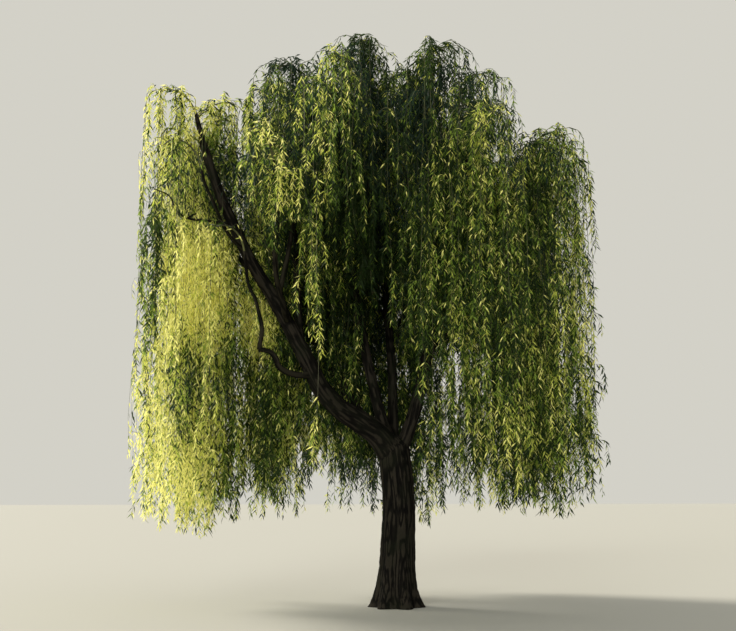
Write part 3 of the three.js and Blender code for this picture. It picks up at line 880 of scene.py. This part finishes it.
def limb_shoots(bough, index):
    """Shoots that hang from the outer part of a bough itself."""
    first, spacing, angle, throws, drops = LIMB_SHOOTS.get(bough["name"], OTHER_LIMB_SHOOTS)
    curve = bough["curve"]
    count = round(curve.length * (LAST_LIMB_SHOOT - first) / spacing)
    lines = []
    for k in range(count):
        place, turn, drop, throw = (chance(index, k + salt) for salt in LIMB_SHOOT_SALTS)
        share = first + (LAST_LIMB_SHOOT - first) * (k + place) / count
        way = curve.way(share)
        aside = math.atan2(way[1], way[0]) + (math.pi / 2 if k % 2 else -math.pi / 2)
        heading = (aside if angle is None else angle) + LIMB_SHOOT_TURN * (turn - 0.5)
        throw = np.interp(throw, (0, 1), throws)
        drop = np.interp(drop, (0, 1), drops)
        line = shoot_line(curve.point(share), heading, throw, drop)
        clear = clear_of_limbs(line[LIMB_FOOT_POINTS:], LIMB_ROOM).all()
        if clear and (outwardness(line, LIMB_EDGE_ROOM) < 1).all():
            lines.append(line)
    return lines


def tubes(lines, foot, end):
    """Vertices and quads of thin tapering tubes along lines (n, points, 3)."""
    count, steps = lines.shape[:2]
    ways = unit(np.gradient(lines, axis=1))
    whole = lines[:, -1] - lines[:, 0]
    level = np.stack([-whole[:, 1], whole[:, 0], 0 * whole[:, 0]], axis=-1)
    level = unit(level + LEVEL_NUDGE)
    across = unit(level[:, None] - ways * (ways * level[:, None]).sum(-1, keepdims=True))
    normal = np.cross(ways, across)
    radii = foot + (end - foot) * np.linspace(0, 1, steps)
    rings = []
    for side in range(TUBE_SIDES):
        angle = 2 * math.pi * side / TUBE_SIDES
        offset = math.cos(angle) * across + math.sin(angle) * normal
        rings.append(lines + offset * radii[:, None])
    vertices = np.stack(rings, axis=2).reshape(-1, 3)
    starts = np.arange(count) * steps * TUBE_SIDES
    faces = ring_faces(steps, TUBE_SIDES)[None] + starts[:, None, None]
    return vertices, faces.reshape(-1, 4)


def places_on(lines, spacing, first):
    """Places every so far along each line: its row, the distance, the point and the way."""
    steps = np.diff(lines, axis=1)
    lengths = np.linalg.norm(steps, axis=2)
    ends = np.cumsum(lengths, axis=1)
    counts = np.maximum(0, ((ends[:, -1] - first) / spacing).astype(int) + 1)
    rows = np.repeat(np.arange(len(lines)), counts)
    number = np.arange(counts.sum()) - np.repeat(np.cumsum(counts) - counts, counts)
    distance = first + number * spacing
    step = (distance[:, None] > ends[rows]).sum(axis=1)
    step = np.minimum(step, steps.shape[1] - 1)
    before = ends[rows, step] - lengths[rows, step]
    share = (distance - before) / np.maximum(lengths[rows, step], TINY)
    points = lines[rows, step] + steps[rows, step] * share[:, None]
    return rows, number, distance, points, unit(steps[rows, step])


def kept_strands(starts, angles, throws, drops, arch):
    """Strands in the crown that touch no limb, and few before the limbs that show clear."""
    lines = hanging(starts, angles, throws, drops, arch, 1, SIDE_SWAY)
    lines = lines[(outwardness(lines, STRAND_EDGE_ROOM) < 1).all(axis=1)]
    ends = lines[:, FOOT_POINTS:].reshape(-1, 3)
    clear = clear_of_limbs(ends, STRAND_LIMB_ROOM).reshape(len(lines), -1)
    lines = lines[clear.all(axis=1)]
    lucky = rng.uniform(0, 1, len(lines)) > CLEAR_SHARE
    return lines[~before_bough(lines.mean(axis=1)) | lucky]


def side_strands(shoots):
    """Strands that leave the shoots on all sides and hang beside them."""
    rows, number, _, starts, _ = places_on(shoots, SIDE_SPACING, FIRST_STRAND)
    count = len(rows)
    starts = starts + (shoots[rows, -1] - starts) * rng.uniform(0, STRAND_DRIFT, (count, 1))
    angles = number * GOLDEN_ANGLE + rng.uniform(0, 2 * math.pi, len(shoots))[rows]
    throws = rng.uniform(*SIDE_THROW, count)
    room_below = starts[:, 2] - shoots[rows, -1, 2]
    drops = np.minimum(rng.uniform(*SIDE_DROP, count), room_below + STRAND_OVERHANG)
    throws = np.minimum(throws, NARROW_THROW[0] + NARROW_THROW[1] * drops)
    kept = drops > SHORTEST_STRAND
    return kept_strands(starts[kept], angles[kept], throws[kept], drops[kept], SIDE_ARCH)


def sprigs(stems):
    """Short strands that rise from the stems over the crown and bend down."""
    rows, number, _, starts, _ = places_on(stems, SPRIG_SPACING, FIRST_SPRIG)
    count = len(rows)
    angles = number * GOLDEN_ANGLE + rng.uniform(0, 2 * math.pi, len(stems))[rows]
    throws = rng.uniform(*SPRIG_THROW, count)
    drops = rng.uniform(*SPRIG_DROP, count)
    return kept_strands(starts, angles, throws, drops, SPRIG_ARCH)


def before_course(points, course, width):
    """Which points the camera sees close beside a limb's course and in front of it."""
    side_way = np.array([math.cos(VIEW_ANGLE), -math.sin(VIEW_ANGLE)])
    depth_way = np.array([math.sin(VIEW_ANGLE), math.cos(VIEW_ANGLE)])
    side, depth = points[:, :2] @ side_way, points[:, :2] @ depth_way
    nearest = np.full(len(points), np.inf)
    before = np.zeros(len(points), bool)
    for place in course:
        apart = np.hypot(side - place[:2] @ side_way, points[:, 2] - place[2])
        closer = apart < nearest
        nearest = np.where(closer, apart, nearest)
        before = np.where(closer, depth < place[:2] @ depth_way, before)
    return before & (nearest < width)


def before_bough(points):
    """Which points hang before the limbs that the photo shows clear."""
    hidden = np.zeros(len(points), bool)
    for bough, last, width in CLEAR_LIMBS:
        course = named[bough]["curve"].at(np.linspace(0, last, COURSE_SAMPLES))
        hidden |= before_course(points, course, width)
    return hidden


def rising(values, first, width):
    """From 0 at a first value to 1 at the end of the width that follows it."""
    return smooth((values - first) / width)


def spray_light(points):
    """How sunlit a place is, from about 0 to 1: most on the left and outside, least inside the
    crown, and changed by the noise and by the places that the photo shows."""
    x, y, z = points.T
    out = np.sqrt(outwardness(points))
    light = PLAIN_LIGHT + LEFT_LIGHT * rising(-x, *LEFT_EDGE)
    light += OUTER_LIGHT * rising(out, *OUTER_EDGE)
    streaks = noise(points, *LIGHT_STREAKS)
    columns = noise(points, *LIGHT_COLUMNS)
    nearer = PHOTO_DISTANCE / (PHOTO_DISTANCE + y)
    seen_x = PHOTO_SIDE + (x - PHOTO_SIDE) * nearer + PLACE_RAGGEDNESS[0] * streaks
    seen_z = CAMERA_HEIGHT + (z - CAMERA_HEIGHT) * nearer + PLACE_RAGGEDNESS[1] * columns
    before = rising(-y, *FRONT_EDGE)
    for middle_x, middle_z, wide, high, change in LIGHT_PLACES:
        apart = np.hypot((seen_x - middle_x) / wide, (seen_z - middle_z) / high)
        light += change * before * smooth(PLACE_EDGE - apart)
    return light + PATCH_LIGHT * noise(points, *LIGHT_PATCHES) + STREAK_LIGHT * streaks


def leaf_colours(points, rows, spray):
    """Each leaf's colour: the light of its place, with its shoot's, spray's and own luck."""
    shoot_luck = rng.uniform(-0.5, 0.5, rows.max() + 1)[rows]
    spray_luck = rng.uniform(-0.5, 0.5, (rows.max() + 1, spray.max() + 1))[rows, spray]
    light = spray_light(points) + SHOOT_LUCK * shoot_luck + SPRAY_LUCK * spray_luck
    light += rng.uniform(*LEAF_LUCK, len(points))
    light -= SHADE * (rng.uniform(0, 1, len(points)) < SHADED_SHARE)
    light += GLINT * (rng.uniform(0, 1, len(points)) < GLINT_SHARE)
    number = (light[:, None] < LIGHT_STEPS).sum(axis=1)
    cool = noise(points, *COOL_PARTS) > COOL_LEVEL
    return np.where((number == DEEP) & cool, COOL, number)


def leaves_on(lines, spacing, first):
    """Leaf roots, frames and colours along lines."""
    rows, number, distance, points, ways = places_on(lines, spacing, first)
    count = len(rows)
    turns = number * GOLDEN_ANGLE + rng.uniform(0, 2 * math.pi, len(lines))[rows]
    turns = turns + rng.uniform(-LEAF_TURN, LEAF_TURN, count)
    aside = level_way(turns)
    splay = rng.uniform(*LEAF_SPLAY, count)[:, None]
    way = unit(LEAF_HANG * (ways - UP) + splay * aside)
    across = unit(np.cross(way, aside))
    under = np.cross(way, across)
    roll = rng.uniform(-LEAF_ROLL, LEAF_ROLL, count)[:, None]
    across, under = (
        np.cos(roll) * across + np.sin(roll) * under,
        np.cos(roll) * under - np.sin(roll) * across,
    )
    lengths = rng.uniform(*LEAF_LENGTH, count)
    colours = leaf_colours(points, rows, (distance / SPRAY_LENGTH).astype(int))
    lengths = np.where(colours >= DEEP, DARK_LEAF_SCALE, 1) * lengths
    tips = points + way * lengths[:, None]
    keep = (outwardness(tips) < 1) & ((tips > cad_low) & (tips < cad_high)).all(axis=1)
    keep &= ~before_bough(points) | (rng.uniform(0, 1, count) > CLEAR_SHARE)
    keep[keep] = clear_of_limbs(points[keep], 0)
    return [column[keep] for column in (points, way, across, under, lengths, colours)]


def leaf_blades(leaves, outline, faces):
    """Vertices and triangles of leaves, each the outline set in its own frame."""
    points, way, across, under, lengths, _ = leaves
    axes = np.stack([way, across, under], axis=1) * lengths[:, None, None]
    vertices = (points[:, None] + outline @ axes).reshape(-1, 3)
    starts = np.arange(len(points)) * len(outline)
    return vertices, (faces[None] + starts[:, None, None]).reshape(-1, 3)


def coloured(leaves, number):
    """The leaves of one colour, whose number is in their last column."""
    chosen = leaves[-1] == number
    return [column[chosen] for column in leaves]


def set_inputs(shader, values):
    for name, value in values.items():
        shader.inputs[name].default_value = value


def node(tree, kind, values=None, **sources):
    """A new node with those values, and with links from those outputs of other nodes."""
    made = tree.nodes.new(kind)
    set_inputs(made, values or {})
    for name, source in sources.items():
        tree.links.new(source, made.inputs[name])
    return made


def shaded(name, finish):
    """A new material with its node tree and its Principled shader with a finish."""
    material = bpy.data.materials.new(name)
    material.use_nodes = True
    principled = material.node_tree.nodes["Principled BSDF"]
    set_inputs(principled, finish)
    return material, material.node_tree, principled


def leaf_material(name, colour, through):
    material, tree, principled = shaded(name, {"Base Color": (*colour, 1), **LEAF_FINISH})
    translucent = node(tree, "ShaderNodeBsdfTranslucent", {"Color": (*through, 1)})
    mixed = node(tree, "ShaderNodeMixShader", {"Fac": THROUGH_SHARE})
    tree.links.new(principled.outputs["BSDF"], mixed.inputs[1])
    tree.links.new(translucent.outputs["BSDF"], mixed.inputs[2])
    tree.links.new(mixed.outputs["Shader"], tree.nodes["Material Output"].inputs["Surface"])
    return material


def ramp(tree, source, stops):
    """The colour that a ramp with those stops gives to a value."""
    made = node(tree, "ShaderNodeValToRGB", Fac=source)
    elements = made.color_ramp.elements
    while len(elements) < len(stops):
        elements.new(0.5)
    for element, (place, colour) in zip(elements, stops):
        element.position = place
        element.color = (*colour, 1)
    return made.outputs["Color"]


def mesh_value(tree, name, output):
    made = node(tree, "ShaderNodeAttribute")
    made.attribute_name = name
    return made.outputs[output]


def depth_colour(tree, fine, colours):
    """The bark's colour by depth, darker in the fissures partly as painted shade: the relief, with
    some of the fine grain added.
    """
    depth = node(tree, "ShaderNodeMath")
    depth.operation = "MULTIPLY_ADD"
    depth.inputs[1].default_value = GRAIN_SHARE
    tree.links.new(fine, depth.inputs[0])
    tree.links.new(mesh_value(tree, "relief", "Fac"), depth.inputs[2])
    return ramp(tree, depth.outputs["Value"], list(zip(DEPTH_STOPS, colours)))


def mossed(tree, grain, bark, tint):
    """The bark's colour with a tint over it in patches."""
    patches = node(tree, "ShaderNodeTexNoise", MOSS_NOISE, Vector=grain)
    mixed = node(tree, "ShaderNodeMix")
    mixed.data_type = "RGBA"
    mixed.inputs["B"].default_value = (*tint, 1)
    tree.links.new(ramp(tree, patches.outputs["Fac"], MOSS_STOPS), mixed.inputs["Factor"])
    tree.links.new(bark, mixed.inputs["A"])
    return mixed.outputs["Result"]


def bark_material(name, colours, tint):
    """Fissured bark, near-black as painted shade of limbs seen against the light: darker in the
    furrows, partly as painted shade, greyer on the ridges, with a little moss.
    """
    material, tree, principled = shaded(name, BARK_FINISH)
    grain = mesh_value(tree, "grain", "Vector")
    stretched = node(tree, "ShaderNodeMapping", {"Scale": GRAIN_STRETCH}, Vector=grain)
    place = stretched.outputs["Vector"]
    fine = node(tree, "ShaderNodeTexNoise", GRAIN_NOISE, Vector=place).outputs["Fac"]
    colour = mossed(tree, grain, depth_colour(tree, fine, colours), tint)
    bump = node(tree, "ShaderNodeBump", GRAIN_BUMP, Height=fine)
    tree.links.new(colour, principled.inputs["Base Color"])
    tree.links.new(bump.outputs["Normal"], principled.inputs["Normal"])
    return material


def twig_material():
    """Smooth young bark that turns from brown to olive."""
    material, tree, principled = shaded("twig_bark", TWIG_FINISH)
    place = node(tree, "ShaderNodeTexCoord").outputs["Object"]
    mottle = node(tree, "ShaderNodeTexNoise", TWIG_NOISE, Vector=place)
    colour = ramp(tree, mottle.outputs["Fac"], TWIG_STOPS)
    tree.links.new(colour, principled.inputs["Base Color"])
    return material


def add_floor():
    corners = np.array([(-1, -1, 0), (1, -1, 0), (1, 1, 0), (-1, 1, 0)]) * FLOOR_HALF
    material = shaded("pale_floor", FLOOR_FINISH)[0]
    floor = mesh_object("floor", corners, np.array([[0, 1, 2, 3]]), material)


def placed(name, data, place, turn):
    made = bpy.data.objects.new(name, data)
    made.location = place
    made.rotation_euler = turn
    bpy.context.scene.collection.objects.link(made)
    return made


def add_light(name, place, energy, softness, colour):
    """Light from far away, from the stated side of the crown."""
    lamp = bpy.data.lights.new(name, "SUN")
    lamp.angle = softness
    lamp.energy = energy
    lamp.color = colour
    turn = (CROWN_CENTRE - Vector(place)).to_track_quat("-Z", "Y").to_euler()
    placed(name, lamp, place, turn)


def add_studio():
    bpy.context.scene.view_settings.view_transform = "Standard"
    world = bpy.data.worlds.new("pale_studio")
    world.use_nodes = True
    set_inputs(world.node_tree.nodes["Background"], SKY)
    bpy.context.scene.world = world
    for lamp in LAMPS:
        add_light(*lamp)


def add_camera():
    camera = bpy.data.cameras.new("photo_view")
    camera.sensor_width = SENSOR_WIDTH
    camera.lens = LENS
    camera.clip_end = FAR_CLIP
    back = -CAMERA_DISTANCE * np.array([math.sin(VIEW_ANGLE), math.cos(VIEW_ANGLE)])
    place = (*(CROWN_MIDDLE + back), CAMERA_HEIGHT)
    turn = (math.pi / 2 + CAMERA_PITCH, 0, -VIEW_ANGLE)
    bpy.context.scene.camera = placed("photo_view", camera, place, turn)


def settle(piece, nodes):
    """The piece rides on the plant's one body, in place of those nodes."""
    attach(piece, "root")
    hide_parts(*nodes)


# The limbs
boughs = grown_boughs()
named = {bough["name"]: bough for bough in boughs}
masses = [bough for bough in boughs if bough["over"]]
mass_nodes = [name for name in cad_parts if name.startswith("foliage_")]
limbs_near, limb_radii = limb_tree(boughs)

old_bark = bark_material("fissured_bark", OLD_BARK, OLD_MOSS)
young_bark = bark_material("young_bark", YOUNG_BARK, YOUNG_MOSS)
settle(limb_object("trunk_bark", [barked_trunk(trunk_curve())], old_bark), ["trunk"])
for name, thick, material, slot in [
    ("bough_bark", True, old_bark, "bark"),
    ("branch_bark", False, young_bark, "young_bark"),
]:
    group = [bough for bough in boughs if is_thick(bough) == thick]
    limbs = [barked_bough(bough, boughs.index(bough)) for bough in group]
    settle(limb_object(name, limbs, material), [bough["name"] for bough in group])

# The stems, shoots and side strands
stems, side_stems, shoots = [], [], []
for index, mass in enumerate(masses):
    grown, lines = grow_mass(mass, index)
    stems.append(grown[0])
    side_stems += grown[1:]
    shoots += lines
for index, bough in enumerate(boughs):
    shoots += limb_shoots(bough, index)
stems, side_stems, shoots = np.array(stems), np.array(side_stems), np.array(shoots)
hidden = before_bough(shoots.reshape(-1, 3)).reshape(len(shoots), -1).mean(axis=1)
shoots = shoots[hidden < SHOOT_MOST_HIDING]
strands = np.concatenate([side_strands(shoots), sprigs(side_stems), sprigs(stems)])

twig_bark = twig_material()
for name, lines, foot, end in [
    ("stems", stems, STEM_RADIUS, STEM_END_RADIUS),
    ("side_stems", side_stems, SIDE_STEM_RADIUS, SHOOT_RADIUS),
    ("shoots", shoots, SHOOT_RADIUS, SHOOT_END_RADIUS),
    ("side_strands", strands, SIDE_RADIUS, SIDE_END_RADIUS),
]:
    piece = mesh_object(name, *tubes(lines, foot, end), twig_bark)
    settle(piece, mass_nodes)

# The leaves
spacings = [STEM_LEAF_SPACING, STEM_LEAF_SPACING, SHOOT_LEAF_SPACING]
groups = [leaves_on(*row, FIRST_LEAF) for row in zip([stems, side_stems, shoots], spacings)]
shoot_leaves = [np.concatenate(columns) for columns in zip(*groups)]
side_leaves = leaves_on(strands, SIDE_LEAF_SPACING, FIRST_SIDE_LEAF)
for number, (name, colour, through) in enumerate(LEAF_COLOURS):
    material = leaf_material("leaf_" + name, colour, through)
    for kind, leaves in [("shoot", shoot_leaves), ("side", side_leaves)]:
        full = kind == "shoot" and number < FULL_COLOURS
        outline, faces = (FULL_LEAF, FULL_FACES) if full else (FOLDED_LEAF, FOLDED_FACES)
        vertices, triangles = leaf_blades(coloured(leaves, number), outline, faces)
        piece = mesh_object(f"{kind}_leaves_{name}", vertices, triangles, material)
        settle(piece, mass_nodes)

add_floor()
add_studio()
add_camera()
